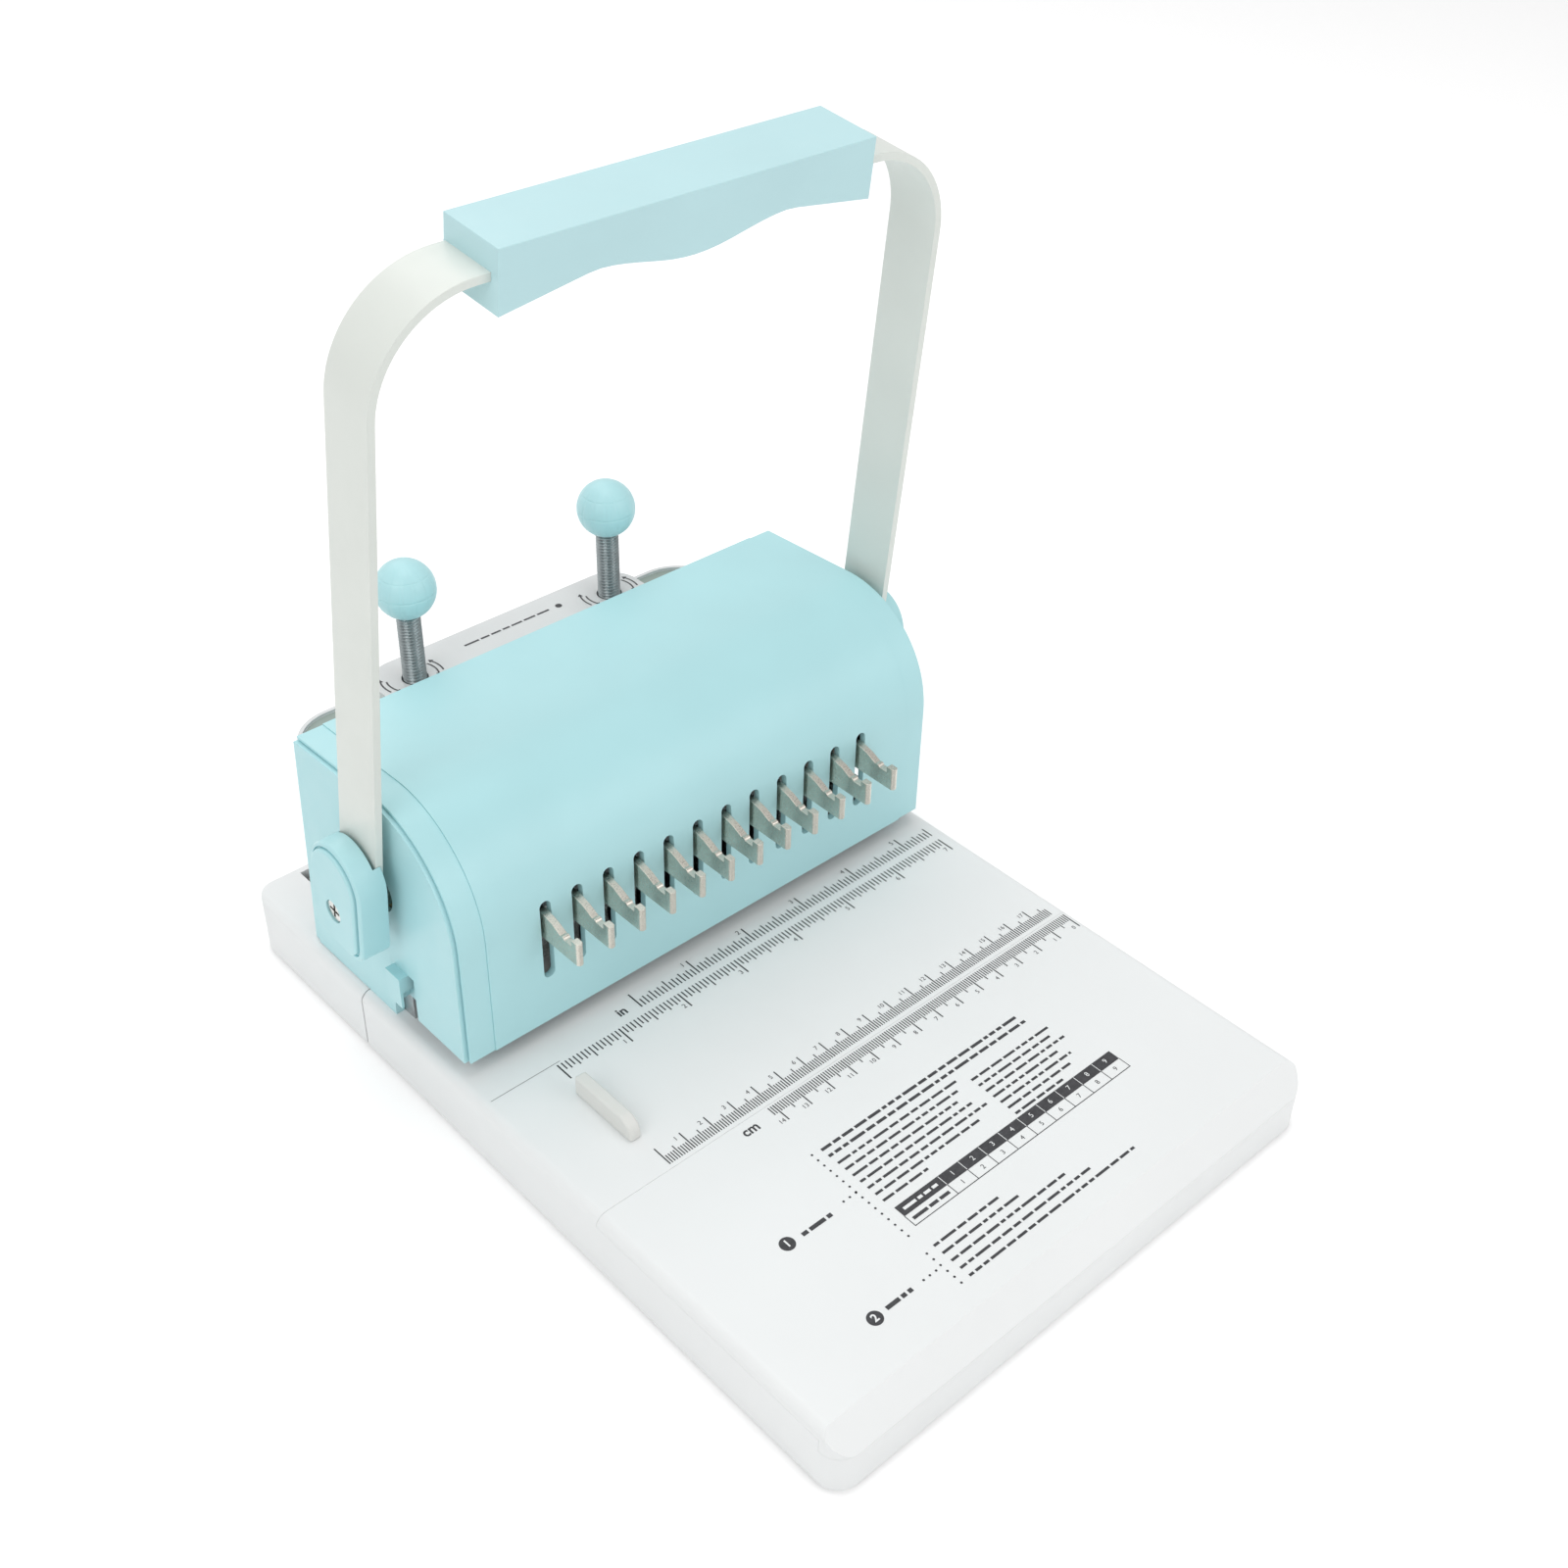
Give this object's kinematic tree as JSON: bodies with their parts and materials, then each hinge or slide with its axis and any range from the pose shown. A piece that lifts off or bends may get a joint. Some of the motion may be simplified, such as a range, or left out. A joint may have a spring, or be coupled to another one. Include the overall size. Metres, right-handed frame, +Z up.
{
  "type": "punch binding machine",
  "caption": "Desk comb punch binder: a bow handle turns a geared shaft that drives a ram with punches and a row of hooks down through a slotted cover over a flat table.",
  "frame": {"origin": "middle of the bounding box at floor level", "axes": "+X along the hook row, +Y to the rear, +Z up"},
  "size_m": [0.2386, 0.305, 0.2943],
  "materials": {
    "aqua_plastic": "satin",
    "white_plastic": "satin",
    "grey_panel": "satin",
    "handle_paint": "satin",
    "steel": "satin",
    "nickel": "polished",
    "bronze": "satin",
    "rubber": "matte"
  },
  "bodies": {
    "frame": {"base_shell": "white_plastic", "front_panel": "white_plastic", "bottom_plate": "steel", "bottom_screws": "nickel", "feet": "rubber", "die_plate": "steel", "stripper_plate": "steel", "left_side_plate": "steel", "right_side_plate": "steel", "left_bush": "bronze", "right_bush": "bronze", "frame_screws": "nickel", "guide_rods": "steel", "return_springs": "steel", "cover": "aqua_plastic", "left_end_cap": "aqua_plastic", "right_end_cap": "aqua_plastic", "rear_panel": "grey_panel", "screw_nuts": "steel", "clamp_shelf": "steel"},
    "handle": {"main_shaft": "steel", "left_pinion": "steel", "right_pinion": "steel", "handle_bar": "handle_paint", "grip_top": "aqua_plastic", "grip_bottom": "aqua_plastic", "grip_screws": "nickel", "left_hub": "aqua_plastic", "right_hub": "aqua_plastic", "hub_screws": "nickel"},
    "ram": {"ram_bar": "steel", "left_rack": "steel", "right_rack": "steel", "punches": "steel", "hook_bar": "steel", "hooks": "nickel"},
    "left_foot": {"left_clamp_foot": "steel"},
    "left_screw": {"left_spindle": "steel", "left_knob": "aqua_plastic"},
    "right_foot": {"right_clamp_foot": "steel"},
    "right_screw": {"right_spindle": "steel", "right_knob": "aqua_plastic"},
    "stop": {"depth_stop": "steel"},
    "guide": {"paper_guide": "white_plastic"},
    "drawer": {"chip_drawer": "white_plastic"}
  },
  "joints": [
    {"name": "handle_pull", "type": "hinge", "parent": "frame", "child": "handle", "pos_m": [0, 0.067, 0.078], "axis": [1, 0, 0], "range_deg": [0, 75]},
    {"name": "ram_slide", "type": "slide", "parent": "frame", "child": "ram", "axis": [0, 0, -1], "range_m": [0, 0.0118], "stiffness_N_per_m": 4000, "springref_m": -0.008, "deforming": ["return_springs"]},
    {"name": "left_foot_lift", "type": "slide", "parent": "frame", "child": "left_foot", "axis": [0, 0, 1], "range_m": [-0.0003, 0.0025]},
    {"name": "left_knob_turn", "type": "hinge", "parent": "left_foot", "child": "left_screw", "pos_m": [-0.0428, 0.1325, 0.1], "axis": [0, 0, 1], "range_deg": [-85, 720]},
    {"name": "right_foot_lift", "type": "slide", "parent": "frame", "child": "right_foot", "axis": [0, 0, 1], "range_m": [-0.0003, 0.0025]},
    {"name": "right_knob_turn", "type": "hinge", "parent": "right_foot", "child": "right_screw", "pos_m": [0.0428, 0.1325, 0.1], "axis": [0, 0, 1], "range_deg": [-85, 720]},
    {"name": "stop_slide", "type": "slide", "parent": "frame", "child": "stop", "axis": [0, 1, 0], "range_m": [-0.0025, 0.003]},
    {"name": "guide_slide", "type": "slide", "parent": "frame", "child": "guide", "axis": [1, 0, 0], "range_m": [-0.02, 0.16]},
    {"name": "drawer_pull", "type": "slide", "parent": "frame", "child": "drawer", "axis": [0, 1, 0], "range_m": [0, 0.06]}
  ],
  "couplings": [
    {"joint": "ram_slide", "follows": "handle_pull", "m_per_rad": 0.009},
    {"joint": "left_knob_turn", "follows": "left_foot_lift", "rad_per_m": 5026.5},
    {"joint": "right_knob_turn", "follows": "right_foot_lift", "rad_per_m": 5026.5}
  ]
}
